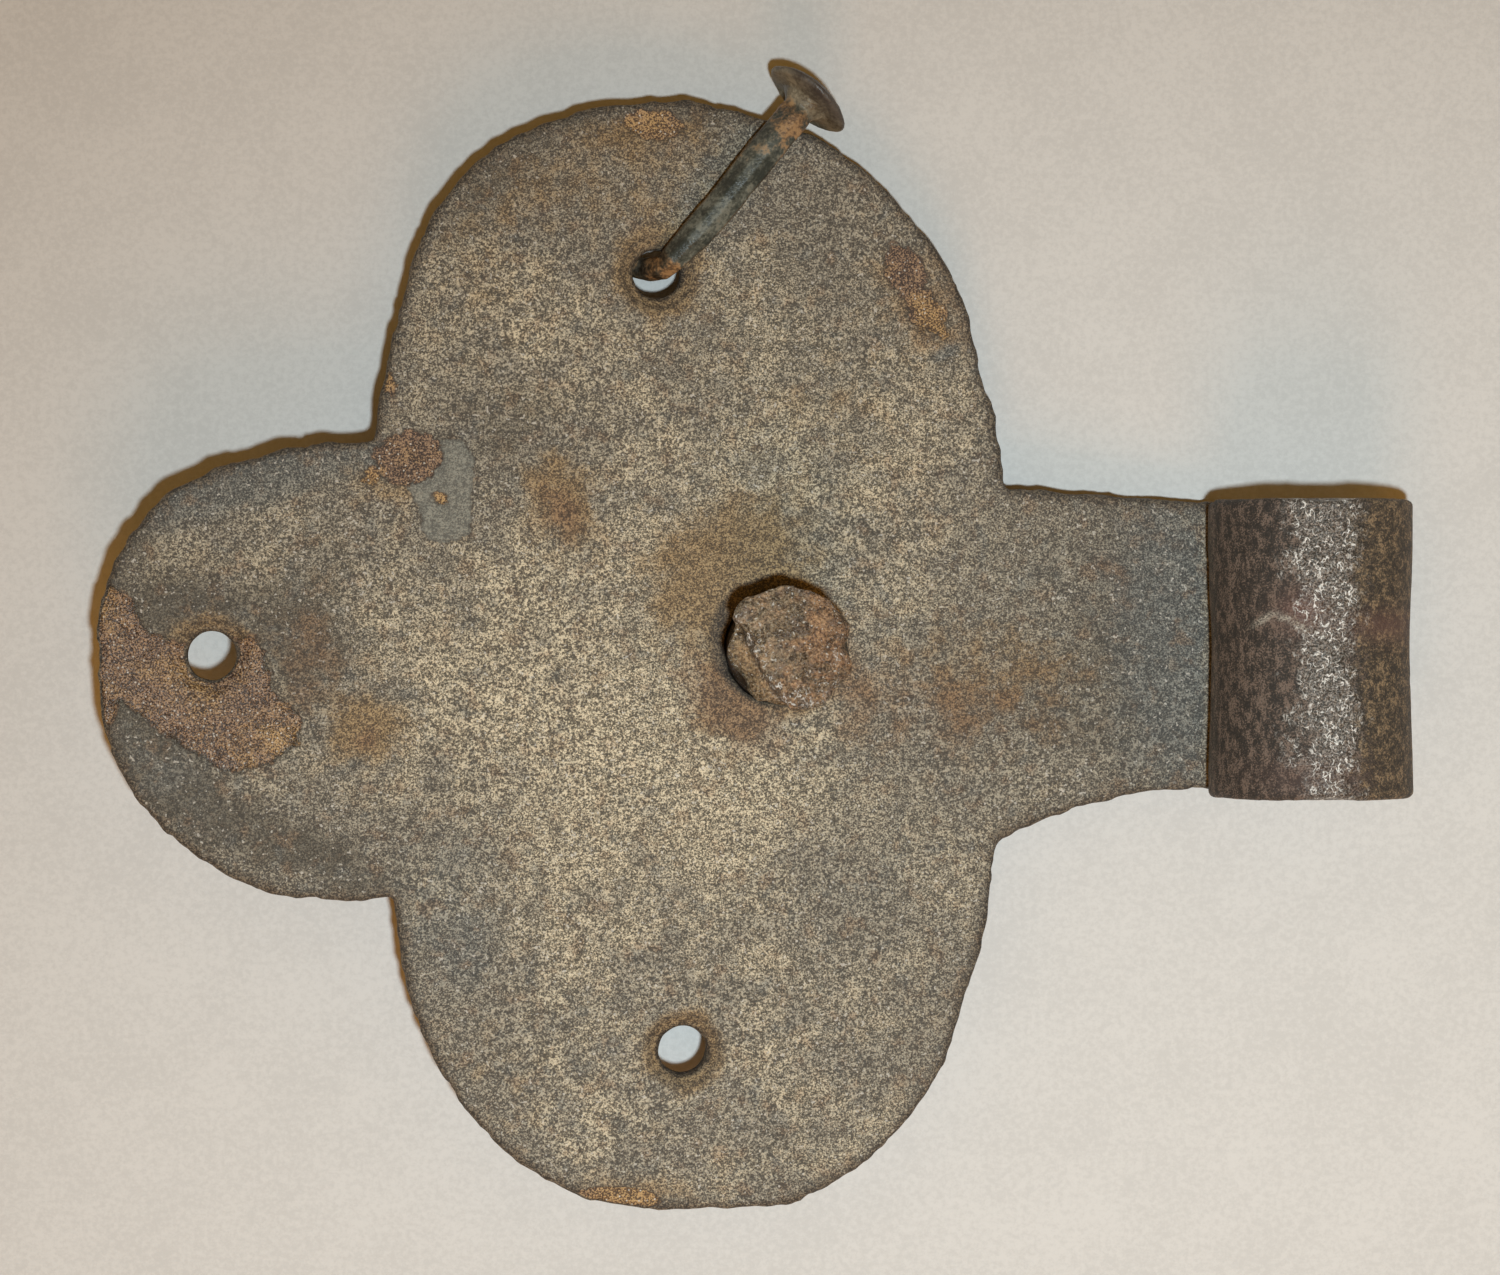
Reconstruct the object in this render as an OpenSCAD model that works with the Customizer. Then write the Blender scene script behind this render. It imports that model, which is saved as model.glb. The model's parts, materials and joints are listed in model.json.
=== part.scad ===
// Trefoil latch plate with a rolled hinge eye, the headed bolt through it, and the one nail left in it.
// X runs from the lobes towards the eye, Y along the eye's bore, and Z out of the front face.
// The origin is the middle of the eye's bore.

/* [Plate] */
// Thickness of the plate and of the strap that is rolled into the eye
plate_t = 5.2; // [4.6:0.1:6]
// Width of the neck where it runs into the eye
neck_w = 43.6; // [36:0.2:46]
// Radius of the three punched nail holes
nail_hole_r = 3.6; // [3.5:0.1:4.2]
// Radius of the dished ring round each nail hole
dish_r = 5.3; // [4.6:0.1:7]
// Depth of the dished ring
dish_depth = 1; // [0.4:0.1:1.8]

/* [Eye] */
// Radius of the eye's bore
eye_bore_r = 10; // [8:0.5:12]
// Thickness of the eye's wall
eye_wall = 5.4; // [5:0.1:7]
// Length of the eye along its bore
eye_len = 45; // [44:1:60]
// Bevel worn onto the eye's outer ends
eye_bevel = 0.8; // [0.2:0.1:2]
// Height of the open seam where the rolled end lands on the strap
seam_gap = 0.4; // [0.2:0.1:0.8]

/* [Bolt] */
// Distance from the eye's axis to the bolt's axis
bolt_distance = 80; // [74:0.5:86]
// Radius of the bolt's shank
bolt_r = 8; // [6.5:0.1:9]
// Clearance between the shank and its hole, on the radius
bolt_clearance = 0.05; // [0.02:0.01:0.1]
// Height of the battered end above the plate's front
bolt_stand = 22; // [16:0.5:30]
// Radius that hammering has spread the end to
batter_r = 9.3; // [9:0.1:10]
// Radius of the forged head behind the plate
bolt_head_r = 13; // [11:0.5:16]
// Thickness of the forged head
bolt_head_t = 7.4; // [6:0.2:10]
// Thickness of the forged head at its rim
bolt_rim_t = 3.6; // [2:0.2:5]
// Radius of the flat that the head was forged on
bolt_flat_r = 9.5; // [8:0.5:10]
// Play between the head and the plate's back
bolt_play = 0.3; // [0.1:0.05:0.6]

/* [Nail] */
// Radius of the nail's head
nail_head_r = 7.6; // [6:0.1:8]
// Thickness of the nail's head
nail_head_t = 2.4; // [1.6:0.1:3]
// Width of the nail's shank under its head
nail_w = 4.8; // [4:0.1:5.2]
// Depth of the nail's shank under its head
nail_d = 4.2; // [3.6:0.1:4.4]

/* [Hidden] */
$fn = 96;
through = 1; // how far a cutting tool runs past the face it leaves

eye_r = eye_bore_r + eye_wall;
back_z = -eye_r; // the strap leaves the eye along its lowest line
front_z = back_z + plate_t;

// Centres of the nail holes, one in each lobe
left_hole = [-165.5, -1];
lower_hole = [-94.5, -61];
upper_hole = [-98.5, 57];

// The edge, anticlockwise. Each entry is a point where the hand-cut curve changes, with the bow of
// the stretch that follows it: its rise over its half chord, positive outwards, zero for straight.
edge = [
    [[0, neck_w / 2], 0], // neck, upper side
    [[-45, 24.5], 0.04], // shoulder, and the upper lobe's right flank
    [[-51.5, 53.5], 0.09],
    [[-64.5, 71.5], 0.26],
    [[-113, 80.5], 0.25],
    [[-135.5, 58.5], 0.04],
    [[-141.5, 31.5], 0.11], // inner corner, and the left lobe
    [[-170.5, 24.5], 0.26],
    [[-182.5, 0], 0.28],
    [[-168, -31], 0.2],
    [[-138.5, -37.5], 0.09], // inner corner, and the lower lobe
    [[-132.5, -61.5], 0.23],
    [[-106, -84], 0.07],
    [[-78, -84.5], 0.27],
    [[-51.5, -54], 0.06],
    [[-46, -29.5], -0.12], // shoulder, and the neck's hollow lower side
    [[-13, -neck_w / 2], 0],
    [[0, -neck_w / 2], 0],
];

// Stations down the nail's centre line, from its tip to its head. Each is a point, measured from
// the upper hole's centre and the plate's back, and the shank's width and depth there.
nail_line = [
    [[-15.5, 5.2, -8.2], 1.2, 1],
    [[-8.5, 3.4, -6.6], 2.4, 2.2],
    [[-3.3, 1.7, -3.4], 2.8, 2.6],
    [[-0.9, 0.9, 0], 3, 2.8],
    [[0.9, 0.8, plate_t - 0.6], 3, 2.8],
    [[2.3, 2.1, plate_t + 2.1], 3.6, 3.2],
    [[5.5, 5.4, plate_t + 3.1], nail_w - 0.4, nail_d - 0.2],
    [[10.5, 11.4, plate_t + 3.6], nail_w - 0.2, nail_d],
    [[16, 18.4, plate_t + 3.6], nail_w, nail_d],
    [[19.8, 23, plate_t + 2.9], nail_w, nail_d],
    [[22.9, 26.6, plate_t + 1.5], nail_w, nail_d],
];
nail_flare_t = 3.4; // length of the flare that joins the shank to the head
nail_corner = 0.22; // share of each side that the hammered corners take off

function unit(v) = v / norm(v);

// Points along the bowed stretch from a to b, without b. An arc of 4 * atan(bow) joins them.
function bowed(a, b, bow, steps = 12) =
    bow == 0 ? [a] :
    let (
        half = (b - a) / 2,
        outward = [half[1], -half[0]],
        depth = (1 - bow * bow) / (2 * bow), // from the chord back to the arc's centre
        centre = a + half - outward * depth,
        turn = 4 * atan(bow)
    )
    [for (i = [0 : steps - 1]) centre + turned(a - centre, turn * i / steps)];

function turned(v, angle) = [
    v[0] * cos(angle) - v[1] * sin(angle),
    v[0] * sin(angle) + v[1] * cos(angle),
];

function edge_points() = [
    for (i = [0 : len(edge) - 1])
        each bowed(edge[i][0], edge[(i + 1) % len(edge)][0], edge[i][1])
];

// Direction of a line of stations at station i, from its neighbours
function heading(line, i) =
    unit(line[min(i + 1, len(line) - 1)][0] - line[max(i - 1, 0)][0]);

// The sideways direction at station i, carried along the line without twisting
function sideways(line, i) =
    let (
        before = i == 0 ? [0.3, 0.95, 0] : sideways(line, i - 1),
        ahead = heading(line, i)
    )
    unit(before - ahead * (before * ahead));

// The shank's section at station i: a rectangle with hammered corners
function shank_ring(line, i) =
    let (
        side = sideways(line, i) * line[i][1] / 2,
        top = cross(heading(line, i), sideways(line, i)) * line[i][2] / 2,
        c = 1 - 2 * nail_corner
    )
    [for (k = [[1, -c], [1, c], [c, 1], [-c, 1], [-1, c], [-1, -c], [-c, -1], [c, -1]])
        line[i][0] + side * k[0] + top * k[1]];

// A closed tube through the stations
module shank(line) {
    sides = 8;
    rings = len(line);
    first_cap = [for (k = [0 : sides - 1]) k];
    last_cap = [for (k = [0 : sides - 1]) rings * sides - 1 - k];
    walls = [
        for (i = [0 : rings - 2], k = [0 : sides - 1])
            let (
                a = i * sides + k,
                b = i * sides + (k + 1) % sides
            )
            each [[a, b + sides, b], [a, a + sides, b + sides]]
    ];
    polyhedron(
        points = [for (i = [0 : rings - 1]) each shank_ring(line, i)],
        faces = concat([first_cap], walls, [last_cap])
    );
}

module nail_hole(centre) {
    translate([centre[0], centre[1], back_z - through])
        cylinder(h = plate_t + 2 * through, r = nail_hole_r);
    translate([centre[0], centre[1], front_z - dish_depth])
        cylinder(h = dish_depth, r1 = nail_hole_r, r2 = dish_r);
}

// The rolled barrel, with worn outer ends
module eye_barrel() {
    rotate([90, 0, 0])
        rotate_extrude()
            polygon([
                [0, -eye_len / 2],
                [eye_r - eye_bevel, -eye_len / 2],
                [eye_r, -eye_len / 2 + eye_bevel],
                [eye_r, eye_len / 2 - eye_bevel],
                [eye_r - eye_bevel, eye_len / 2],
                [0, eye_len / 2],
            ]);
}

module latch_plate() {
    color([0.42, 0.38, 0.32])
    difference() {
        union() {
            translate([0, 0, back_z])
                linear_extrude(plate_t)
                    polygon(edge_points());
            eye_barrel();
        }
        rotate([90, 0, 0])
            cylinder(h = eye_len + 2 * through, r = eye_bore_r, center = true);
        // the seam, from the crevice outside to the bore
        translate([-eye_r, -eye_len / 2 - through, front_z])
            cube([eye_r - 1, eye_len + 2 * through, seam_gap]);
        for (hole = [left_hole, lower_hole, upper_hole])
            nail_hole(hole);
        translate([-bolt_distance, 0, back_z - through])
            cylinder(h = plate_t + 2 * through, r = bolt_r + bolt_clearance);
    }
}

// Half the outline of the shank, from inside the head to the battered end
module bolt_shank_profile() {
    top = plate_t + bolt_stand;
    polygon([
        [0, -bolt_play - bolt_rim_t],
        [bolt_r, -bolt_play - bolt_rim_t],
        [bolt_r, top - 7],
        [batter_r - 0.4, top - 3.5],
        [batter_r, top - 1.8],
        [batter_r - 1.2, top - 0.4],
        [batter_r - 4, top],
        [0, top],
    ]);
}

// A flat that a slanting hammer blow has left on the battered end
module hammer_flat(around, tip, reach) {
    rotate([0, 0, around])
        translate([reach, 0, plate_t + bolt_stand])
            rotate([0, tip, 0])
                translate([0, -batter_r, 0])
                    cube([2 * batter_r, 2 * batter_r, batter_r]);
}

// Half the outline of the head behind the plate, from its seat to its flat
module bolt_head_profile() {
    polygon([
        [0, -bolt_play],
        [bolt_head_r - 0.6, -bolt_play],
        [bolt_head_r, -bolt_play - 0.8],
        [bolt_head_r, -bolt_play - bolt_rim_t],
        [(bolt_head_r + bolt_flat_r) / 2 + 0.3, -bolt_play - (bolt_head_t + bolt_rim_t) / 2 - 0.6],
        [bolt_flat_r, -bolt_play - bolt_head_t],
        [0, -bolt_play - bolt_head_t],
    ]);
}

module toggle_bolt() {
    color([0.45, 0.31, 0.24])
    translate([-bolt_distance, 0, back_z]) {
        difference() {
            rotate_extrude()
                bolt_shank_profile();
            hammer_flat(around = 200, tip = 24, reach = 4);
            hammer_flat(around = 75, tip = 18, reach = 3.5);
            hammer_flat(around = 320, tip = 30, reach = 5.5);
        }
        rotate_extrude()
            bolt_head_profile();
    }
}

// The head and the flare under it, along +Z from the shank's last station
module nail_head() {
    rotate_extrude()
        polygon([
            [0, -nail_flare_t],
            [nail_d / 2, -nail_flare_t],
            [nail_w / 2 + 0.4, -nail_flare_t / 2],
            [nail_w / 2 + 1.8, 0],
            [nail_head_r - 0.4, 0.2],
            [nail_head_r, 0.8],
            [nail_head_r - 1.2, nail_head_t - 0.6],
            [nail_head_r / 2, nail_head_t],
            [0, nail_head_t],
        ]);
}

module clinched_nail() {
    last = len(nail_line) - 1;
    along = heading(nail_line, last);
    color([0.36, 0.37, 0.36])
    translate([upper_hole[0], upper_hole[1], back_z]) {
        shank(nail_line);
        translate(nail_line[last][0])
            rotate([0, acos(along[2]), atan2(along[1], along[0])])
                nail_head();
    }
}

latch_plate();
toggle_bolt();
clinched_nail();
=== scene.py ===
import itertools
import json
import math

import bmesh
import bpy
import numpy as np
from mathutils import Matrix, Vector, kdtree
from mathutils.geometry import delaunay_2d_cdt


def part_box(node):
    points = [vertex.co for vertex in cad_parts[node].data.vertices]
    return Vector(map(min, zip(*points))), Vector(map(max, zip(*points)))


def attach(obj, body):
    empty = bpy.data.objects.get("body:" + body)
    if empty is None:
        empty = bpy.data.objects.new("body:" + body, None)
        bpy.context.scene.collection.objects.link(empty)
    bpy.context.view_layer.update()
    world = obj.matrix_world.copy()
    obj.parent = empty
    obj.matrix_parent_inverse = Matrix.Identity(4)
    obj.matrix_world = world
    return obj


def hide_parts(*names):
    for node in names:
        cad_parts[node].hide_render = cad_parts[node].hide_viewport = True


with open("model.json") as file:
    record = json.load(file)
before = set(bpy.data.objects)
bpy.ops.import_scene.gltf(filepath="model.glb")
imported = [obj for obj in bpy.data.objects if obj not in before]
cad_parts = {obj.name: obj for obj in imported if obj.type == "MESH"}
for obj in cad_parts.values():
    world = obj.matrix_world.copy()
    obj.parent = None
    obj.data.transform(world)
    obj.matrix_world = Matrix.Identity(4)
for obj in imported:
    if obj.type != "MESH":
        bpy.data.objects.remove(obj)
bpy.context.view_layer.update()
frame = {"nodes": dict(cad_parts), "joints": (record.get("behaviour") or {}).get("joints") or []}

MM = 0.001

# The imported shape, in millimetres
PLATE_THICK = 5.2
EYE_WALL = 5.4
EYE_LENGTH = 45.0
EYE_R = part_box("latch_plate")[1].x / MM
BACK_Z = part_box("latch_plate")[0].z / MM
FRONT_Z = BACK_Z + PLATE_THICK
SEAM_GAP = 0.4
JOIN_X = -12.0
JOINT_PLACE = {joint["name"]: np.array(joint["pos_m"]) / MM for joint in frame["joints"]}
BOLT_X, BOLT_Y = JOINT_PLACE["bolt_turn"][:2]

# The camera's and the floor's place, in metres. The plate leans on the eye and the bolt's rear head.
LEAN = math.radians(6.2)
SIDE_LEAN = math.radians(3.2)
FLOOR_DEPTH = EYE_R * MM
CAMERA_HEIGHT = 0.616
CAMERA_LEFT = 0.085
CAMERA_UP = 0.0017
LENS = 95.0

LATTICE_SIDE = 64
LATTICE = np.random.default_rng(11).uniform(-1, 1, (LATTICE_SIDE,) * 3)


# ---------- noise and soft fields

def value_noise(points, size, shift=0.0):
    """Smooth noise from -1 to 1 at each point, with lumps about `size` across."""
    spots = points / size + shift
    cell = np.floor(spots).astype(int)
    part = spots - cell
    part = part * part * (3 - 2 * part)
    total = np.zeros(len(points))
    for corner in itertools.product((0, 1), repeat=3):
        index = (cell + corner) % LATTICE_SIDE
        weight = np.where(corner, part, 1 - part).prod(axis=1)
        total += weight * LATTICE[index[:, 0], index[:, 1], index[:, 2]]
    return total


def fractal(points, size, octaves=3, shift=0.0):
    """Noise with finer and weaker noise added on top."""
    total = np.zeros(len(points))
    for octave in range(octaves):
        total += value_noise(points, size / 2 ** octave, shift + 7.3 * octave) / 2 ** octave
    return total


def ramp(value, low, high):
    """0 below low and 1 above high, with a smooth step between."""
    t = np.clip((value - low) / (high - low), 0, 1)
    return t * t * (3 - 2 * t)


def turned(points, x, y, degrees):
    """Each point's distance along and across an axis turned about x, y."""
    angle = math.radians(degrees)
    dx = points[:, 0] - x
    dy = points[:, 1] - y
    return dx * math.cos(angle) + dy * math.sin(angle), dy * math.cos(angle) - dx * math.sin(angle)


def ovals(points, rows):
    """Adds up soft oval spots. A row is x, y, half length, half width, turn in degrees, amount."""
    total = np.zeros(len(points))
    for x, y, half_length, half_width, turn, amount in rows:
        along, across = turned(points, x, y, turn)
        total += amount * np.exp(-((along / half_length) ** 2 + (across / half_width) ** 2))
    return total


def inside(points, outline):
    """True for each point that lies inside a closed outline."""
    x, y = points[:, 0], points[:, 1]
    found = np.zeros(len(points), bool)
    for (x0, y0), (x1, y1) in zip(outline, np.roll(outline, -1, axis=0)):
        if y0 != y1:
            crossing = x0 + (y - y0) * (x1 - x0) / (y1 - y0)
            found ^= ((y0 > y) != (y1 > y)) & (x < crossing)
    return found


def depth_inside(points, outline):
    """Distance from a closed outline, positive inside it and negative outside."""
    nearest = np.full(len(points), np.inf)
    for start, end in zip(outline, np.roll(outline, -1, axis=0)):
        run = end - start
        t = np.clip(((points - start) @ run) / (run @ run), 0, 1)
        gap = np.hypot(*(points - start - t[:, None] * run).T)
        nearest = np.minimum(nearest, gap)
    return np.where(inside(points, outline), nearest, -nearest)


def nearest_distance(points, targets):
    """Distance from each point to the nearest target."""
    tree = kdtree.KDTree(len(targets))
    for index, target in enumerate(targets):
        tree.insert((*target[:2], 0), index)
    tree.balance()
    return np.array([tree.find((x, y, 0))[2] for x, y in points[:, :2]])


# ---------- mesh building

def grid_faces(rows, columns, closed=False):
    """Quads over points numbered row by row. Closed joins the last column to the first."""
    faces = []
    for row in range(rows - 1):
        for column in range(columns if closed else columns - 1):
            beside = (column + 1) % columns
            low = row * columns
            high = low + columns
            faces.append((low + column, low + beside, high + beside, high + column))
    return faces


def welded(name, parts):
    """One closed mesh from (points in mm, faces) parts that share their borders."""
    shell = bmesh.new()
    for points, faces in parts:
        corners = [shell.verts.new(point) for point in np.asarray(points) * MM]
        for face in faces:
            shell.faces.new([corners[index] for index in face])
    bmesh.ops.remove_doubles(shell, verts=shell.verts, dist=0.004 * MM)
    bmesh.ops.recalc_face_normals(shell, faces=shell.faces)
    mesh = bpy.data.meshes.new(name)
    shell.to_mesh(mesh)
    shell.free()
    return mesh


def mesh_points(mesh):
    """The points of a mesh, in millimetres, and their normals."""
    points = np.empty(len(mesh.vertices) * 3)
    mesh.vertices.foreach_get("co", points)
    normals = np.empty(len(mesh.vertices) * 3)
    mesh.vertex_normals.foreach_get("vector", normals)
    return points.reshape(-1, 3) / MM, normals.reshape(-1, 3)


def move_points(mesh, points):
    """Gives a mesh new points, in millimetres."""
    mesh.vertices.foreach_set("co", (points * MM).ravel())
    mesh.update()


def keep_fields(mesh, fields):
    """Stores named numbers for each point, for the mesh's material to read."""
    for name, values in fields.items():
        field = mesh.attributes.new(name, "FLOAT", "POINT")
        field.data.foreach_set("value", values.astype(np.float32))


def new_object(name, data):
    """An object in the scene that holds a mesh, a lamp or a camera."""
    made = bpy.data.objects.new(name, data)
    bpy.context.scene.collection.objects.link(made)
    return made


def add_piece(name, mesh, body, node, material):
    """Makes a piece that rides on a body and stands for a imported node."""
    mesh.shade_smooth()
    mesh.materials.clear()
    mesh.materials.append(material)
    piece = new_object(name, mesh)
    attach(piece, body)
    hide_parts(node)


def flat_loops(mesh, height):
    """The closed borders, longest first, of a mesh's flat faces at a height, in millimetres."""
    edges = set()
    for face in mesh.polygons:
        corners = [mesh.vertices[index].co / MM for index in face.vertices]
        if max(abs(corner.z - height) for corner in corners) > 0.01:
            continue
        keys = [(round(corner.x, 3), round(corner.y, 3)) for corner in corners]
        for start, end in zip(keys, keys[1:] + keys[:1]):
            if (end, start) in edges:
                edges.remove((end, start))
            else:
                edges.add((start, end))
    following = dict(sorted(edges))
    loops = []
    while following:
        first, point = following.popitem()
        loop = [first]
        while point != first:
            loop.append(point)
            point = following.pop(point)
        loops.append(np.array(loop))
    return sorted(loops, key=lambda loop: -np.ptp(loop, axis=0).sum())


def even_steps(line, spacing):
    """A line's points placed again at even steps along it."""
    lengths = np.hypot(*np.diff(line, axis=0).T)
    along = np.concatenate([[0], np.cumsum(lengths)])
    steps = np.linspace(0, along[-1], round(along[-1] / spacing) + 1)
    return np.stack([np.interp(steps, along, column) for column in line.T], axis=1)


def soften(line, reach):
    """A line smoothed over `reach` points to each side. Its ends stay where they are."""
    pad = 3 * reach
    longer = np.concatenate([2 * line[0] - line[pad:0:-1], line, 2 * line[-1] - line[-2:-pad - 2:-1]])
    weights = np.exp(-0.5 * (np.arange(-pad, pad + 1) / reach) ** 2)
    weights /= weights.sum()
    return np.stack([np.convolve(column, weights, "valid") for column in longer.T], axis=1)


def fill_flat(border, holes, height, spacing):
    """Triangles over a flat face: its border, the rings round its holes and a jittered grid between."""
    rings = [border] + holes
    low, high = border.min(axis=0), border.max(axis=0)
    places = []
    for row, y in enumerate(np.arange(low[1], high[1], spacing * math.sqrt(0.75))):
        xs = np.arange(low[0], high[0], spacing) + spacing * (row % 2) / 2
        places.append(np.stack([xs, np.full_like(xs, y)], axis=1))
    grid = np.concatenate(places)
    grid += np.random.default_rng(5).uniform(-0.2, 0.2, grid.shape) * spacing
    grid = grid[inside(grid, border)]
    for hole in holes:
        grid = grid[~inside(grid, hole)]
    grid = grid[nearest_distance(grid, np.concatenate(rings)) > 0.6 * spacing]
    edges = []
    count = 0
    for ring in rings:
        edges += [(count + index, count + (index + 1) % len(ring)) for index in range(len(ring))]
        count += len(ring)
    every_point = [Vector(point) for point in np.concatenate(rings + [grid])]
    points, _, faces, *_ = delaunay_2d_cdt(every_point, edges, [], 1, 1e-7)
    points = np.array([tuple(point) for point in points])
    middles = np.array([points[list(face)].mean(axis=0) for face in faces])
    kept = inside(middles, border)
    for hole in holes:
        kept &= ~inside(middles, hole)
    faces = [face for face, wanted in zip(faces, kept) if wanted]
    return np.column_stack([points, np.full(len(points), height)]), faces


# ---------- the plate's shape

# The edge's rounding, the flat border inside it and the spacing of the mesh, in millimetres
EDGE_ROUND = 1.0
EDGE_FLAT = 0.5
EDGE_STEP = 0.75
FRONT_STEP = 0.74
BACK_STEP = 1.4
BARREL_STEP = 0.6
LARGEST_NAIL_HOLE = 5.0
# (radius, height above the back) down the wall of a dished nail hole, and then of the bolt's hole
DISHED_PROFILE = [
    (6.4, 5.2), (5.9, 5.12), (5.4, 4.92), (4.9, 4.62), (4.4, 4.36), (4.0, 4.12), (3.74, 3.8), (3.62, 3.4),
    (3.6, 2.6), (3.6, 1.8), (3.62, 1.0), (3.7, 0.4), (3.95, 0.1), (4.4, 0),
]
BOLT_HOLE_PROFILE = [
    (9.6, 5.2), (9.1, 5.16), (8.6, 5.0), (8.25, 4.7), (8.1, 4.2), (8.07, 3.4), (8.07, 2.6), (8.07, 1.8),
    (8.1, 1.0), (8.25, 0.4), (8.6, 0.1), (9.2, 0),
]


def edge_profile():
    """(inset, height above the back) down the plate's edge, from the front round to the back."""
    quarter = np.linspace(0, math.pi / 2, 5)
    inset = EDGE_ROUND * (1 - np.sin(quarter))
    drop = EDGE_ROUND * (1 - np.cos(quarter))
    front = np.column_stack([inset, PLATE_THICK - drop])
    back = np.column_stack([inset, drop])[::-1]
    wall = np.column_stack([np.zeros(3), np.linspace(PLATE_THICK - EDGE_ROUND, EDGE_ROUND, 5)[1:-1]])
    first = [EDGE_ROUND + EDGE_FLAT, PLATE_THICK]
    last = [EDGE_ROUND + EDGE_FLAT, 0]
    return np.vstack([first, front, wall, back, last])


def on_join(start, end):
    """Where the line from start to end crosses the join."""
    share = (JOIN_X - start[0]) / (end[0] - start[0])
    return start + share * (end - start)


def plate_outline():
    """The plate's edge from the eye's upper side round the lobes to its lower side, and its holes."""
    border, *holes = flat_loops(frame["nodes"]["latch_plate"].data, BACK_Z)
    border = border[::-1]
    before = np.roll(border, 1, axis=0)
    start = int(np.argmax((border[:, 0] < JOIN_X) & (before[:, 0] >= JOIN_X)))
    border = np.roll(border, -start, axis=0)
    count = int((border[:, 0] < JOIN_X).sum())
    kept = border[:count]
    upper = on_join(border[-1], kept[0])
    lower = on_join(border[count], kept[-1])
    line = even_steps(np.vstack([upper, kept, lower]), EDGE_STEP)
    return soften(line, 1), [(hole.mean(axis=0), np.ptp(hole[:, 0]) / 2) for hole in holes]


def outward(line):
    """Unit vectors pointing out of an outline that runs anticlockwise."""
    along = np.gradient(line, axis=0)
    out = np.column_stack([along[:, 1], -along[:, 0]])
    out = soften(out, 3)
    out[0] = [0, 1]
    out[-1] = [0, -1]
    return out / np.hypot(*out.T)[:, None]


def edge_band(line, profile):
    """The plate's ragged, rounded edge, as rows of points from the front to the back."""
    out = outward(line)
    place = np.column_stack([line, np.zeros(len(line))])
    steps = np.arange(len(line)) * EDGE_STEP
    near_eye = ramp(np.minimum(steps, steps[-1] - steps), 2, 14)
    ragged = near_eye * (0.30 * fractal(place, 6.0, 3) + 0.22 * value_noise(place, 1.7, 3.1))
    rows = []
    for inset, rise in profile:
        share = 1 - inset / (EDGE_ROUND + EDGE_FLAT + 0.6)
        edge = line + out * (ragged * share - inset)[:, None]
        rows.append(np.column_stack([edge, np.full(len(line), BACK_Z + rise)]))
    return np.array(rows)


def hole_rings(centre, radius):
    """Rings of points down a hole's wall, from the front to the back."""
    profile = DISHED_PROFILE if radius < LARGEST_NAIL_HOLE else BOLT_HOLE_PROFILE
    outer = profile[0][0]
    wall = profile[len(profile) // 2][0]
    count = round(2 * math.pi * outer / FRONT_STEP)
    angles = np.arange(count) * 2 * math.pi / count
    circle = np.column_stack([np.cos(angles), np.sin(angles)])
    rings = []
    for ring_r, rise in profile:
        level = np.full(count, BACK_Z + rise)
        place = np.column_stack([centre + circle * outer, level])
        uneven = 0.12 * (1 + value_noise(place, 3.0, 1.7))
        reach = ring_r * radius / wall + uneven
        rings.append(np.column_stack([centre + circle * reach[:, None], level]))
    return np.array(rings)


def strap_section(low_y, high_y, profile):
    """The strap's closed cross-section as (y, height above the back), and its front and back rows."""
    inset = profile[0, 0]
    width = high_y - low_y - 2 * inset
    front_y = np.linspace(low_y + inset, high_y - inset, round(width / (1.5 * BARREL_STEP)) + 1)
    back_y = np.linspace(high_y - inset, low_y + inset, round(width / BARREL_STEP) + 1)
    side = profile[1:-1]
    return np.vstack([
        np.column_stack([front_y, np.full(len(front_y), PLATE_THICK)]),
        np.column_stack([high_y - side[:, 0], side[:, 1]]),
        np.column_stack([back_y, np.zeros(len(back_y))]),
        np.column_stack([low_y + side[::-1, 0], side[::-1, 1]]),
    ]), front_y, back_y


def rolled_strap(section):
    """The strap's end, straight from the join and then rolled round the bore to its scarfed tip."""
    y, rise = section.T
    eye_y = np.interp(y, (y.min(), y.max()), (-EYE_LENGTH / 2, EYE_LENGTH / 2))
    straight = np.linspace(JOIN_X, 0, round(-JOIN_X / BARREL_STEP) + 1)[:-1]
    rows = []
    for x in straight:
        share = ramp(x, JOIN_X, 0)
        rows.append(np.column_stack([np.full(len(y), x), y + share * (eye_y - y), BACK_Z + rise]))
    radius = EYE_R - rise * EYE_WALL / PLATE_THICK
    tip_drop = -(FRONT_Z + SEAM_GAP)
    last_turn = math.pi + np.arcsin(tip_drop / radius)
    count = round(1.6 * math.pi * EYE_R / BARREL_STEP)
    for step in np.linspace(0, 1, count + 1):
        turn = -math.pi / 2 + step * (last_turn + math.pi / 2)
        rows.append(np.column_stack([radius * np.cos(turn), eye_y, radius * np.sin(turn)]))
    return np.array(rows)


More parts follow.
